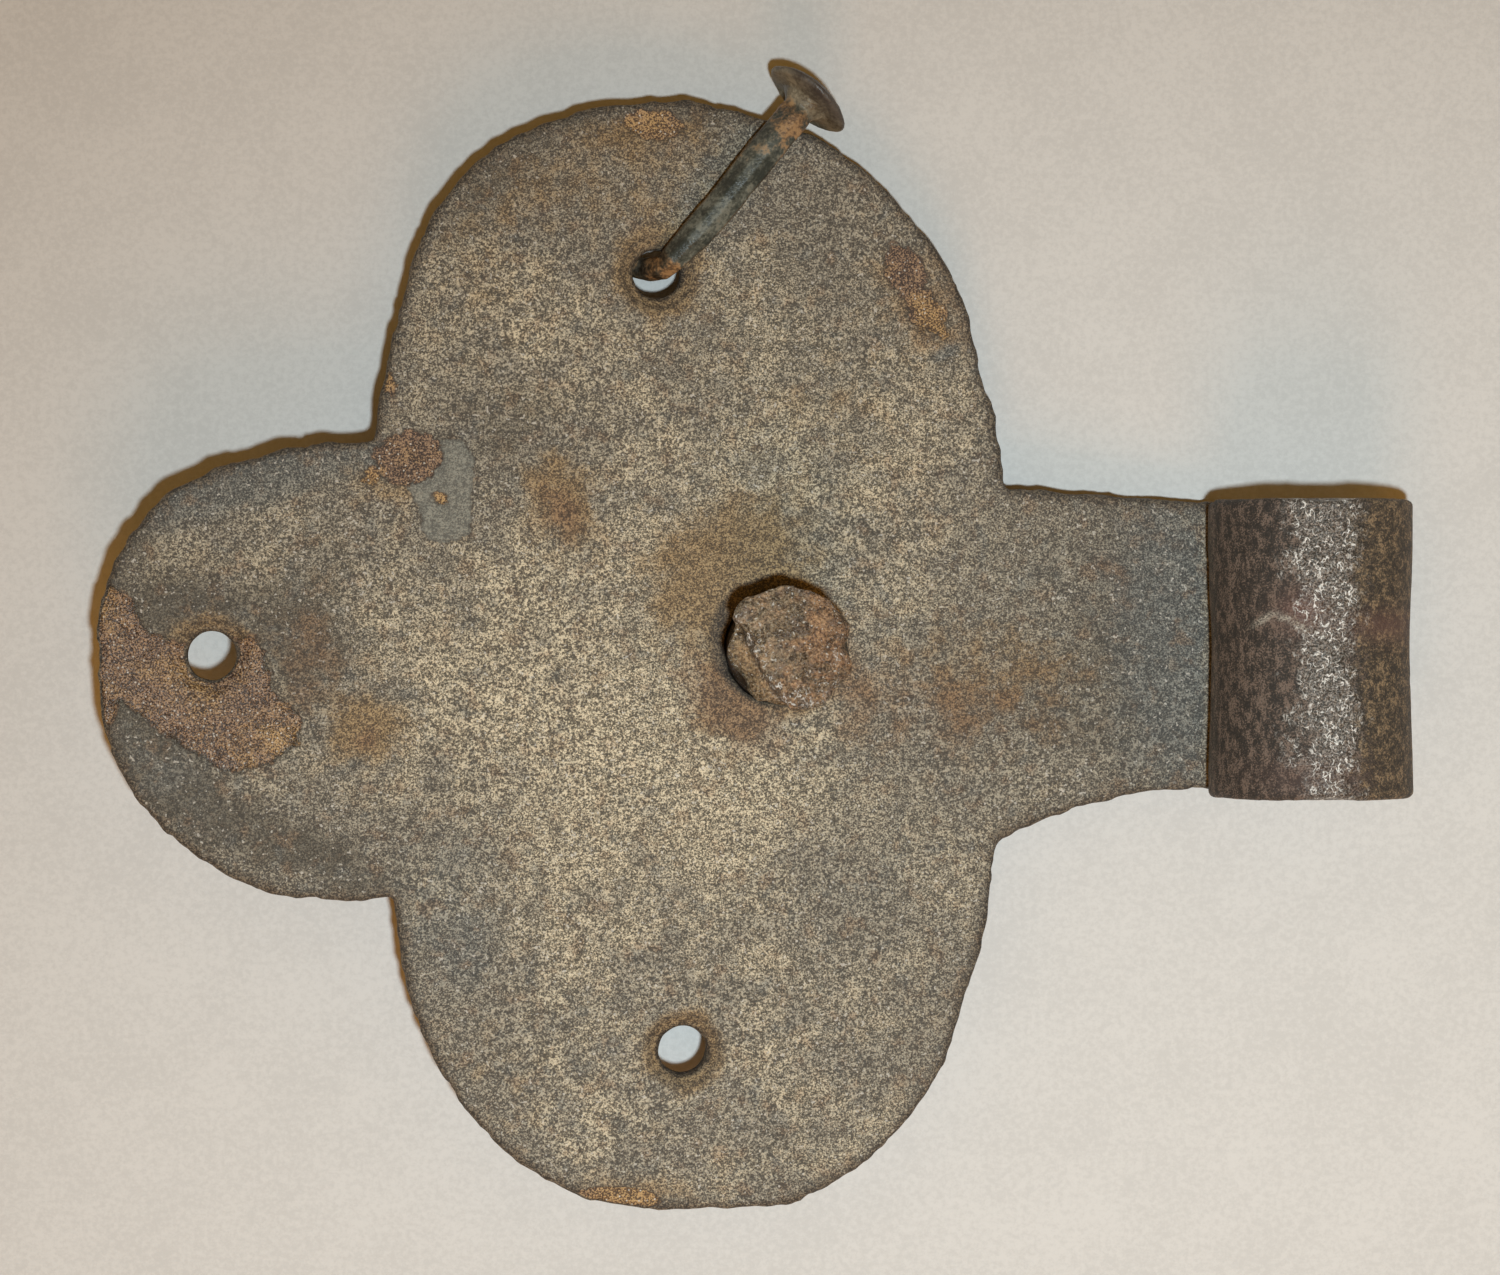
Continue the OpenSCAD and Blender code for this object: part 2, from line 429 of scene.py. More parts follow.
def plate_shell():
    """The whole plate and eye as one closed mesh, before it is worn."""
    profile = edge_profile()
    line, holes = plate_outline()
    band = edge_band(line, profile)
    section, front_y, back_y = strap_section(line[-1, 1], line[0, 1], profile)
    walls = [hole_rings(centre, radius) for centre, radius in holes]
    strap = rolled_strap(section)
    front_join = np.column_stack([np.full(len(front_y), JOIN_X), front_y])[1:-1]
    back_join = np.column_stack([np.full(len(back_y), JOIN_X), back_y])[1:-1][::-1]
    front_border = np.vstack([band[0, :, :2], front_join])
    back_border = np.vstack([band[-1, :, :2], back_join])
    parts = [(band.reshape(-1, 3), grid_faces(*band.shape[:2]))]
    for wall in walls:
        parts.append((wall.reshape(-1, 3), grid_faces(*wall.shape[:2], closed=True)))
    parts.append((strap.reshape(-1, 3), grid_faces(*strap.shape[:2], closed=True)))
    parts.append((strap[-1], [tuple(range(len(section)))]))
    parts.append(fill_flat(front_border, [wall[0, :, :2] for wall in walls], FRONT_Z, FRONT_STEP))
    parts.append(fill_flat(back_border, [wall[-1, :, :2] for wall in walls], BACK_Z, BACK_STEP))
    return welded("latch_plate_iron", parts), line, holes


# ---------- the plate's wear

SCAB_OUTLINE = np.array([
    (-188, 11), (-181, 9.5), (-177, 7), (-176, 3.5), (-170, 0.5), (-165, 1), (-159, 1.5), (-155.5, -7.5),
    (-152, -10.5), (-152.5, -14), (-157, -17.5), (-163.5, -18.5), (-170, -14.5), (-174.5, -11), (-179, -7.5),
    (-181, -12.5), (-188, -13),
], float)
FLAKE_OUTLINE = np.array([
    (-133, 31.5), (-128.5, 32), (-126, 29), (-126.5, 22.5), (-127, 17), (-131, 16), (-133.5, 16.5),
    (-135, 22), (-137, 26), (-135.5, 30),
], float)
# Rusty spots where the skin has come off: x, y, half width, half height, turn in degrees
SPOTS = [
    (-60.6, 57.4, 2.9, 4.4, 25), (-57.4, 51.6, 2.7, 4.4, 35), (-136.0, 28.8, 5.4, 3.9, 8),
    (-131.3, 22.6, 1.2, 1.3, 0), (-141.9, 25.8, 1.5, 1.4, 0), (-139.2, 40.3, 1.3, 1.9, 20),
    (-104.0, -83.2, 6.5, 1.8, -4), (-99.0, 79.4, 4.6, 2.2, -8),
]
# Depths of the wear, in millimetres
PIT_DEPTH = 0.12
CHIP_DEPTH = 0.34
SCAB_DEPTH = 0.48
SPOT_DEPTH = 0.22
FLAKE_HEIGHT = 0.22
GROOVE_DEPTH = 0.25
# Further from an edge than this, in millimetres, every place counts the same
EDGE_REACH = 4.0
DUST_EVERYWHERE = 0.26
# Soft ovals of each kind: x, y, half length, half width, turn in degrees, amount
PATCHES = {
    "dust": [
        (-104, -10, 34, 18, 0, 0.40), (-92, -24, 24, 12, -8, 0.25), (-122, 10, 22, 18, 30, 0.12),
        (-96, 36, 34, 22, 0, 0.14), (-100, -50, 30, 18, 0, 0.10), (-70, 22, 18, 18, 0, 0.12),
        (-24, 0, 24, 40, 0, -0.24), (-168, 15, 24, 11, 0, -0.05), (-152, -30, 20, 9, -20, -0.30),
        (-128, -52, 10, 22, 12, -0.22), (-50, -7, 20, 11, 0, -0.25), (-62, -52, 14, 22, 0, -0.10),
        (-70, 68, 14, 16, 0, -0.12), (-118, 26, 12, 10, 0, -0.30), (-146, -8, 9, 14, 0, -0.14),
        (-98, 74, 34, 13, 0, -0.16), (-132, -37, 5, 5, 0, 0.65),
    ],
    "skin": [
        (-170, 6, 10, 4.5, 0, 1.0), (-152, 2, 7, 11, 0, 0.75), (-173.5, -17, 13, 5.5, -48, 1.2),
        (-150, -31, 18, 5, -22, 0.65), (-178, 15, 8, 4, 55, 0.6), (-163, 26, 18, 3.5, 16, 0.7),
        (-98, 81, 24, 5, 0, 0.5), (-123, 71, 14, 5, 48, 0.5), (-22, 2, 15, 24, 0, 0.60),
        (-47, 66, 5, 16, 25, 0.35), (-122, 34, 12, 8, 0, 0.4), (-46, -8, 12, 9, 0, 0.4),
    ],
    "ochre": [
        (-86, 14, 12, 8, 10, 0.95), (-93, 6, 7, 7, 0, 0.5), (-98, 57, 9, 9, 0, 0.35),
        (-101, 70, 16, 7, 0, 0.25), (-118, 68, 8, 6, 30, 0.3), (-140, 24, 6, 4, 0, 0.40),
        (-142.5, -12, 6, 5, 0, 1.0), (-113, 23, 5, 8, 25, 0.8), (-72, 36, 12, 10, 0, 0.2),
        (-126, 56, 8, 10, 0, 0.25), (-59, 54, 7, 10, 25, 0.45), (-48, -3, 16, 8, 0, 0.45),
        (-100, 78, 12, 4, 0, 0.45), (-104, -82, 12, 3, 0, 0.4), (-90, -11, 7, 5, -35, 0.4),
        (-122, -66, 9, 6, -50, 0.25),
    ],
    "rust": [
        (-52, -8, 18, 9, 0, 0.40), (-113, 21, 3, 5, 20, 0.75), (-87, -9, 9, 5, -35, 0.95),
        (-142.6, -13.6, 3, 2, 20, 0.6), (-68.5, -4, 4, 10, 0, 0.35), (-151, 1, 5, 9, 0, 0.45),
        (-28, 12, 8, 10, 0, 0.20), (-60, 20, 9, 9, 0, 0.16), (-58, 52, 8, 9, 25, 0.3),
    ],
    "blue": [
        (-20, 2, 9, 26, 0, 0.85), (-163, 25, 20, 5, 14, 1.0), (-173, -18, 12, 7, -45, 0.35),
        (-130, -42, 9, 12, 20, 0.55), (-142.8, 28.5, 3.0, 1.8, 20, 1.1), (-40, 12, 14, 10, 0, 0.25),
        (-66, -34, 14, 14, 0, 0.30), (-128, -30, 10, 5, 0, 0.25), (-54.4, 45.2, 2.4, 1.0, 30, 1.3),
    ],
    "orange": [
        (-155.5, -14, 4.5, 4, 0, 1.0), (-168, -5, 6, 4.5, 0, 0.5), (-182, 7, 3, 5, 0, 0.4),
        (-56, 50, 2.6, 4, 25, 1.1), (-131.3, 22.6, 3, 3, 0, 0.7), (-141.9, 25.8, 3, 3, 0, 0.9),
        (-139.2, 40.3, 3, 3, 0, 0.9), (-104, -83, 9, 4, 0, 0.9), (-100, 79.6, 6, 4, 0, 0.9),
        (-142.6, -13.6, 4, 3, 0, 0.4),
    ],
    "red": [(-5, 5.5, 3.4, 3.0, 0, 1.0), (9, 3.5, 6.5, 2.4, 0, 0.8), (-3, -19, 8, 3, 0, 0.4)],
    "scratch": [
        (-10.2, 4.4, 1.4, 0.36, 35, 1.1), (-7.4, 4.6, 1.4, 0.36, -20, 1.1), (-5.2, 3.2, 1.3, 0.36, -38, 1.1),
    ],
    "groove": [(-119, -11.5, 9, 0.7, 42, 1.0), (-124, -20, 6, 0.6, 65, 0.7)],
}


def oval_depth(points, spot):
    """1 at an oval's middle, 0 on its edge and negative outside."""
    x, y, half_width, half_height, turn = spot
    along, across = turned(points, x, y, turn)
    return 1 - np.hypot(along / half_width, across / half_height)


def wear_edges(points, front):
    """How far each place is inside the scab, the flake and the rusty spots, in millimetres."""
    flat = points * [1, 1, 0]
    crumble = 0.35 * fractal(flat, 3.0, 3) + 0.2 * value_noise(flat, 9.0, 2.3)
    in_spot = np.full(len(points), -EDGE_REACH)
    for spot in SPOTS:
        in_spot = np.maximum(in_spot, spot[2] * oval_depth(points, spot))
    depths = {
        "scab_edge": depth_inside(points[:, :2], SCAB_OUTLINE) + crumble,
        "flake_edge": depth_inside(points[:, :2], FLAKE_OUTLINE) + 0.6 * crumble,
        "spot_edge": in_spot + crumble,
    }
    return {name: np.where(front > 0.5, np.clip(depth, -EDGE_REACH, EDGE_REACH), -EDGE_REACH)
            for name, depth in depths.items()}


def hole_fields(points, back, holes):
    """The rusty stain round each hole, and its darkening: painted shade down its wall, and a darker ring on
    its dish.
    """
    stain = np.zeros(len(points))
    dark = np.zeros(len(points))
    for centre, radius in holes:
        away = np.hypot(points[:, 0] - centre[0], points[:, 1] - centre[1])
        dished = radius < LARGEST_NAIL_HOLE
        stain += (0.65 if dished else 0.55) * np.exp(-((away - radius - 1.2) / 2.0) ** 2)
        # painted shade down the hole's wall and just past its edge
        dark += (1 - back) * ramp(radius - away, -1.0, -0.5)
        if dished:
            # a darker ring round the dish of each nail hole
            dark += 0.75 * np.exp(-((away - 5.4) / 0.45) ** 2)
    return stain, dark


def plate_fields(points, normals, line, holes):
    """Where dust, rust, scale and wear lie on the plate. All but the edges run from 0 to about 1."""
    front = ramp(normals[:, 2], 0.3, 0.7) * ramp(-points[:, 0], 13, 15)
    back = ramp(-normals[:, 2], 0.3, 0.7) * ramp(-points[:, 0], 2, 10)
    rim = np.exp(-nearest_distance(points, line) / 1.6)
    barrel = ramp(points[:, 2], FRONT_Z + 0.2, FRONT_Z + 2.5) * ramp(points[:, 0], -16.5, -15)
    patch = {name: ovals(points, rows) for name, rows in PATCHES.items()}
    stain, dark = hole_fields(points, back, holes)
    # painted shadow of the bolt: close round its foot, and wider on its upper left, where its shadow falls
    dx = points[:, 0] - BOLT_X
    dy = points[:, 1] - BOLT_Y
    bolt_shadow = ramp(0.14 * (dy - dx) - np.hypot(dx, dy), -9.4, -8.7)
    fields = {
        "front": front, "back": back, "rim": rim, "barrel": barrel,
        "dust": front * (DUST_EVERYWHERE + patch["dust"]) * (1 - 0.75 * rim),
        "skin": front * patch["skin"],
        "ochre": front * (patch["ochre"] + stain),
        "rust": front * patch["rust"] + 0.25 * rim + 0.45 * back,
        "blue": front * patch["blue"],
        "orange": patch["orange"],
        "red": barrel * patch["red"],
        "scratch": barrel * patch["scratch"],
        "groove": front * patch["groove"],
        # painted shade round the bolt and in the holes, and the darker rings on the dishes
        "painted_shade_and_rings": front * bolt_shadow + dark,
    }
    fields = {name: np.clip(values, 0, 1.2) for name, values in fields.items()}
    return fields | wear_edges(points, front)


def barrel_dents(points):
    """How far the hammered eye stands in from a true cylinder, in millimetres."""
    # 0 degrees is on the eye's right, 90 at its top
    turn = np.degrees(np.arctan2(points[:, 2], points[:, 0]))
    crest = np.clip(1 - ((turn - 95) / 20) ** 2, 0, 1)
    groove = np.exp(-((turn - 117) / 3.5) ** 2)
    waist = np.exp(-(points[:, 1] / 11) ** 2)
    blow = ovals(points, [(-4.0, -17.0, 5.0, 3.6, -20, 1.0)]) * ramp(points[:, 2], 5, 10)
    return 0.40 * crest + 0.16 * groove + 0.45 * waist + 0.30 * blow


def in_bore(points):
    """True for each point on the wall of the eye's bore."""
    return np.hypot(points[:, 0], points[:, 2]) < EYE_R - EYE_WALL + 1.2


def calmness(points, fields):
    """How much of the wear each place takes: less in the eye's seam, its bore and the holes."""
    seam_high = FRONT_Z + SEAM_GAP
    in_seam = ramp(points[:, 0], -17, -15) * ramp(-points[:, 0], -3, -1)
    in_seam *= ramp(points[:, 2], FRONT_Z - 0.6, FRONT_Z - 0.1)
    in_seam *= ramp(-points[:, 2], -seam_high - 0.6, -seam_high - 0.1)
    on_face = np.maximum(fields["front"], fields["back"])
    in_hole = (1 - on_face) * (1 - fields["barrel"]) * (1 - ramp(fields["rim"], 0.1, 0.4))
    calm = (1 - 0.9 * in_seam) * np.where(in_bore(points), 0.3, 1.0)
    return calm * (1 - 0.8 * in_hole)


def wear_plate(points, normals, fields):
    """The plate's points after hammering, pitting and flaking."""
    # broad hammering, small lumps and pits
    lift = 0.16 * value_noise(points, 26.0, 0.4) + 0.09 * value_noise(points, 9.0, 1.3)
    lift += 0.05 * fractal(points, 2.6, 2, 2.1)
    lift -= PIT_DEPTH * ramp(value_noise(points, 2.2, 5.2), 0.45, 0.9)
    # a chipped rim, and rough rust
    chips = ramp(fractal(points * [1, 1, 0.5], 3.4, 3, 4.4), 0.15, 0.75)
    lift += fields["rim"] * (0.10 * fractal(points, 2.0, 2, 4.9) - CHIP_DEPTH * chips)
    lift += 0.06 * fields["rust"] * fractal(points, 1.8, 2, 6.1)
    # the scab and the spots are sunk, and the flake stands up
    lift += ramp(fields["scab_edge"], -0.3, 0.3) * (0.22 * fractal(points, 2.4, 3, 8.2) - SCAB_DEPTH)
    lift += ramp(fields["spot_edge"], -0.3, 0.8) * (0.16 * fractal(points, 2.0, 2, 9.1) - SPOT_DEPTH)
    lift += FLAKE_HEIGHT * ramp(fields["flake_edge"], -0.25, 0.25)
    lift -= GROOVE_DEPTH * fields["groove"]
    lift -= barrel_dents(points) * fields["barrel"] * np.where(in_bore(points), 0, 1)
    return points + normals * (lift * calmness(points, fields))[:, None]


def build_plate():
    mesh, line, holes = plate_shell()
    points, normals = mesh_points(mesh)
    fields = plate_fields(points, normals, line, holes)
    move_points(mesh, wear_plate(points, normals, fields))
    keep_fields(mesh, fields)
    add_piece("latch_plate_iron", mesh, "plate", "latch_plate", plate_iron())


# ---------- the bolt and the nail

# Lumps and dents round the stub's end, from its axis: x, y, half length, half width, turn in degrees, height
BOLT_LUMPS = [
    (8.4, 3.6, 2.0, 1.6, 0, 0.7), (8.6, 0.4, 1.6, 1.0, 0, -0.8),
    (8.4, -3.0, 2.4, 2.4, 0, 0.6), (-8.0, -5.0, 2.6, 2.2, 0, -0.5),
    (-8.8, -0.5, 1.4, 2.0, 0, 0.5), (4.0, -8.0, 2.4, 2.0, 0, 0.5),
]
# Where glints are painted on the stub's end: x, y, half length, half width, turn in degrees, amount
BOLT_GLINTS = [
    (6.4, -1.0, 1.5, 0.8, 10, 1.2), (2.0, -6.6, 4.0, 1.3, -15, 0.9),
    (-4.0, 0.5, 3.2, 1.2, -60, 0.8), (6.5, -5.4, 1.6, 1.0, -40, 0.9),
]
BOLT_RUST = [(6, 2, 5, 8, 0, 1.0), (0, -7, 5, 3, 0, 0.4)]
# How far the stub's end stands to the left, in millimetres
END_SHIFT = 1.3
# The stub's left side is broken off a little: the way its ledge faces, from it to the axis, and its depth
LEDGE_SIDE = (0.84, 0.54)
LEDGE_PLACE = 4.8
LEDGE_DEPTH = 0.9
# How far from its hole the nail's flare and head are, and how far its head is moved and made smaller
NAIL_FLARE = 31.0
NAIL_HEAD = 35.0
HEAD_SHIFT = 1.5
HEAD_SHRINK = 0.07


def remeshed(node, name, voxel, smoothing):
    """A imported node's shape as an even mesh of small faces, with its edges softened."""
    copy = new_object(name, frame["nodes"][node].data.copy())
    remesh = copy.modifiers.new("even", "REMESH")
    remesh.mode = "VOXEL"
    remesh.voxel_size = voxel * MM
    soft = copy.modifiers.new("soft", "SMOOTH")
    soft.iterations = smoothing
    soft.factor = 0.5
    bpy.context.view_layer.update()
    mesh = bpy.data.meshes.new_from_object(copy.evaluated_get(bpy.context.evaluated_depsgraph_get()))
    bpy.data.objects.remove(copy)
    mesh.name = name
    return mesh


def bolt_shape(points):
    """The stub's end shifted to the left and spread a little, over a neck worn on that side."""
    height = points[:, 2]
    end = ramp(height, 5.0, 10.5)
    neck = ramp(height, FRONT_Z + 0.4, FRONT_Z + 3) * (1 - end)
    dx = points[:, 0] - BOLT_X
    dy = points[:, 1] - BOLT_Y
    left = ramp(-dx, -2, 8)
    shaped = points.copy()
    shaped[:, 0] -= end * (END_SHIFT - 0.05 * dx) - END_SHIFT * neck * left
    shaped[:, 1] += end * 0.03 * dy
    return shaped


def build_bolt():
    mesh = remeshed("toggle_bolt", "toggle_bolt_iron", voxel=0.34, smoothing=4)
    points, normals = mesh_points(mesh)
    stub = ramp(points[:, 2], FRONT_Z + 0.5, FRONT_Z + 4)
    head = ramp(-points[:, 2], -BACK_Z + 0.8, -BACK_Z + 2.5)
    end = ramp(points[:, 2], 6.5, 9.5)
    lift = stub * (0.36 * fractal(points, 7.0, 2, 0.6) + 0.16 * fractal(points, 2.6, 2, 3.3))
    lift += end * (0.42 * fractal(points, 3.4, 4, 5.5) + 0.14 * value_noise(points, 1.3, 2.9) - 0.15)
    lift += head * (0.22 * fractal(points, 6.0, 2, 7.7) + 0.10 * fractal(points, 1.8, 2, 1.1))
    from_axis = points - (BOLT_X, BOLT_Y, 0)
    across = from_axis[:, 0] * LEDGE_SIDE[0] + from_axis[:, 1] * LEDGE_SIDE[1]
    ledge_edge = -across + 0.8 * fractal(points, 4.0, 3, 2.2) - LEDGE_PLACE
    lift -= LEDGE_DEPTH * ramp(ledge_edge, -0.4, 0.4) * end
    lift += end * ovals(from_axis, BOLT_LUMPS)
    move_points(mesh, bolt_shape(points + normals * lift[:, None]))
    # painted glints: the listed spots, and a band along the high side of the ledge
    glint = ovals(from_axis, BOLT_GLINTS) + np.exp(-((ledge_edge + 0.9) / 0.6) ** 2)
    keep_fields(mesh, {
        "orange": ovals(from_axis, BOLT_RUST),
        "end": ramp(points[:, 2], 8.5, 10.5),
        "ledge_edge": np.clip(ledge_edge, -EDGE_REACH, EDGE_REACH),
        "glint": np.clip(glint * end, 0, 1),
    })
    add_piece("toggle_bolt_iron", mesh, "bolt", "toggle_bolt", bolt_iron())


def build_nail():
    mesh = remeshed("clinched_nail", "clinched_nail_iron", voxel=0.25, smoothing=1)
    points, normals = mesh_points(mesh)
    hole = JOINT_PLACE["nail_swivel"]
    dx = points[:, 0] - hole[0]
    dy = points[:, 1] - hole[1]
    from_hole = np.hypot(dx, dy)
    at_head = ramp(from_hole, NAIL_FLARE, NAIL_HEAD)
    at_flare = np.exp(-((from_hole - NAIL_FLARE) / 3.5) ** 2)
    rust = 0.50 * at_flare + 0.25 * ramp(from_hole, 16, 26) - 0.35 * at_head
    rust += 0.55 * ramp(-from_hole, -5, -2.5)
    keep_fields(mesh, {
        "head": at_head,
        "side": 1 - ramp(normals[:, 2], 0.45, 0.75),
        "rust": np.clip(rust, 0, 1),
        "rim": at_head * ramp(dx + dy, 50, 53),
    })
    lift = 0.10 + 0.09 * fractal(points, 5.0, 2, 0.2) + 0.05 * fractal(points, 1.5, 2, 4.1)
    points = points + normals * lift[:, None]
    middle = points[from_hole > (NAIL_FLARE + NAIL_HEAD) / 2].mean(axis=0)
    inward = (hole[:2] - middle[:2]) / np.hypot(*(hole[:2] - middle[:2]))
    points -= at_head[:, None] * HEAD_SHRINK * (points - middle)
    # only the head's upper side comes nearer, so that its lower edge still clears the plate
    nearer = HEAD_SHIFT * at_head * ramp(points[:, 2], -14.5, -4)
    points[:, :2] += nearer[:, None] * inward
    move_points(mesh, points)
    add_piece("clinched_nail_iron", mesh, "nail", "clinched_nail", nail_iron())


# ---------- materials

# The sockets of a colour mix
MIX_AMOUNT, MIX_FIRST, MIX_SECOND = 0, 6, 7


class Paint:
    """Builds one material's nodes. Noise sizes are in millimetres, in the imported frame."""

    def __init__(self, name):
        self.material = bpy.data.materials.new(name)
        self.material.use_nodes = True
        self.tree = self.material.node_tree
        self.shader = self.tree.nodes["Principled BSDF"]
        self.place = self.node("TexCoord").outputs["Object"]

    def node(self, kind, inputs=None, **settings):
        """Adds a node. Each input is a socket to link from, or a value."""
        made = self.tree.nodes.new("ShaderNode" + kind)
        for name, value in settings.items():
            setattr(made, name, value)
        for name, value in (inputs or {}).items():
            self.feed(made.inputs[name], value)
        return made

    def feed(self, socket, value):
        """Links a socket, or gives it a value."""
        if isinstance(value, bpy.types.NodeSocket):
            self.tree.links.new(value, socket)
        else:
            socket.default_value = value

    def noise(self, size, detail=2.0, roughness=0.55, stretch=(1, 1, 1), shift=0.0, distortion=0.0):
        """Noise from 0 to 1. A stretch below 1 draws it out along that axis."""
        place = self.node("Mapping", {0: self.place, 1: (shift, shift, shift), 3: stretch}).outputs[0]
        made = self.node("TexNoise", {"Vector": place, "Scale": 1 / (size * MM), "Detail": detail,
                                      "Roughness": roughness, "Distortion": distortion})
        return made.outputs[0]

    def cells(self, size):
        """Distance from the middle of the nearest of many small cells."""
        return self.node("TexVoronoi", {"Vector": self.place, "Scale": 1 / (size * MM)}).outputs["Distance"]

    def field(self, name):
        """A number stored on the mesh's points."""
        return self.node("Attribute", attribute_name=name).outputs["Fac"]

    def sum(self, first, second):
        return self.node("Math", {0: first, 1: second}, operation="ADD").outputs[0]

    def times(self, first, second):
        return self.node("Math", {0: first, 1: second}, operation="MULTIPLY").outputs[0]

    def weighed(self, *pairs):
        """The sum of some values, each times its weight."""
        total = 0.0
        for value, weight in pairs:
            total = self.sum(total, self.times(value, weight))
        return total

    def spread(self, value, low, high, to_low=0.0, to_high=1.0):
        """Stretches low..high of a value smoothly to another range, and clamps it."""
        made = self.node("MapRange", {0: value, 1: low, 2: high, 3: to_low, 4: to_high},
                         interpolation_type="SMOOTHSTEP")
        return made.outputs[0]

    def blend(self, amount, first, second):
        """The first colour, and the second where the amount is high."""
        made = self.node("Mix", data_type="RGBA")
        for index, value in ((MIX_AMOUNT, amount), (MIX_FIRST, first), (MIX_SECOND, second)):
            if isinstance(value, tuple):
                value = (*value, 1.0)
            self.feed(made.inputs[index], value)
        return made.outputs[2]

    def tones(self, tone, colours):
        """From a dark through a middle to a light colour as a tone goes from 0 to 1."""
        dark, middle, light = colours
        lower = self.blend(self.spread(tone, 0.0, 0.5), dark, middle)
        return self.blend(self.spread(tone, 0.5, 1.0), lower, light)

    def bump(self, height, depth, under=None):
        """Relief of a 0 to 1 height, `depth` millimetres deep, over an earlier relief."""
        made = self.node("Bump", {"Strength": 1.0, "Distance": depth * MM, "Height": height})
        if under is not None:
            self.feed(made.inputs["Normal"], under)
        return made.outputs[0]

    def finish(self, colour, roughness, normal):
        """Links the shader's main inputs, and returns the finished material."""
        self.feed(self.shader.inputs["Base Color"], colour)
        self.feed(self.shader.inputs["Roughness"], roughness)
        self.feed(self.shader.inputs["Normal"], normal)
        return self.material


# Each iron has a dark, a middle and a light tone
IRON = ((0.072, 0.064, 0.052), (0.205, 0.182, 0.144), (0.500, 0.458, 0.368))
DUST = ((0.104, 0.089, 0.065), (0.410, 0.354, 0.252), (0.990, 0.870, 0.645))
SKIN = ((0.046, 0.040, 0.030), (0.092, 0.082, 0.062), (0.165, 0.148, 0.114))
BLUE = ((0.055, 0.061, 0.062), (0.135, 0.145, 0.140), (0.320, 0.330, 0.308))
OCHRE = ((0.090, 0.058, 0.028), (0.265, 0.172, 0.078), (0.520, 0.360, 0.175))
RUST = ((0.075, 0.043, 0.025), (0.205, 0.120, 0.064), (0.400, 0.245, 0.130))
SCALE = ((0.150, 0.154, 0.140), (0.235, 0.242, 0.215), (0.330, 0.338, 0.300))
SCAB = ((0.042, 0.025, 0.020), (0.180, 0.108, 0.074), (0.430, 0.282, 0.175))
SCAB_ORANGE = ((0.085, 0.046, 0.020), (0.300, 0.178, 0.076), (0.640, 0.420, 0.190))
DARK_RIM_AND_SHADE = ((0.018, 0.014, 0.011), (0.060, 0.047, 0.035), (0.200, 0.160, 0.110))
EYE_LEFT = ((0.013, 0.010, 0.008), (0.058, 0.041, 0.032), (0.200, 0.145, 0.115))
EYE_RIGHT = ((0.022, 0.016, 0.010), (0.098, 0.070, 0.042), (0.330, 0.235, 0.135))
EYE_RUBBED_SHEEN = ((0.028, 0.025, 0.022), (0.150, 0.136, 0.120), (0.400, 0.376, 0.345))
BOLT_GREY = ((0.085, 0.062, 0.040), (0.300, 0.230, 0.152), (0.570, 0.460, 0.315))
BOLT_BROWN = ((0.085, 0.044, 0.024), (0.340, 0.192, 0.105), (0.650, 0.400, 0.220))
NAIL_SCALE = ((0.040, 0.050, 0.046), (0.095, 0.108, 0.094), (0.210, 0.225, 0.195))
NAIL_BROWN = ((0.030, 0.020, 0.012), (0.100, 0.074, 0.046), (0.220, 0.170, 0.110))
NAIL_OLIVE = ((0.110, 0.092, 0.064), (0.215, 0.190, 0.138), (0.330, 0.296, 0.220))
NAIL_RUST = ((0.090, 0.050, 0.026), (0.240, 0.130, 0.062), (0.520, 0.300, 0.130))
# Plain colours, and pairs that noise runs between
# painted glints: white specks
GLINT_SPECK = (0.850, 0.820, 0.760)
# painted glints: the strokes on the eye's crest and the stub's end
GLINT = (0.920, 0.920, 0.900)
# painted shade along the edges of steps
STEP_SHADE = (0.035, 0.025, 0.018)
EYE_RED = (0.210, 0.095, 0.080)
SCRATCH = (0.600, 0.560, 0.480)
BOLT_PATCH = (0.185, 0.150, 0.135)
BOLT_PIT = (0.040, 0.024, 0.016)
# nearly black pair: painted shade on the bolt's side and rear head
BOLT_SIDE_SHADE = ((0.010, 0.006, 0.004), (0.050, 0.030, 0.018))
NAIL_RIM = (0.050, 0.042, 0.046)
PAPER = ((0.735, 0.740, 0.745), (0.815, 0.820, 0.825))
# High, since iron glints more than most things
IRON_IOR = 1.8
# The paper's glow, in metres: the middle of the flash's pool of light, and where round it the glow lies
POOL_MIDDLE = (-0.05, -0.20, 0.0)
GLOW_BEGINS = 0.34
GLOW_FULL = 0.62
GLOW_COLOUR = (0.360, 0.425, 0.460, 1)


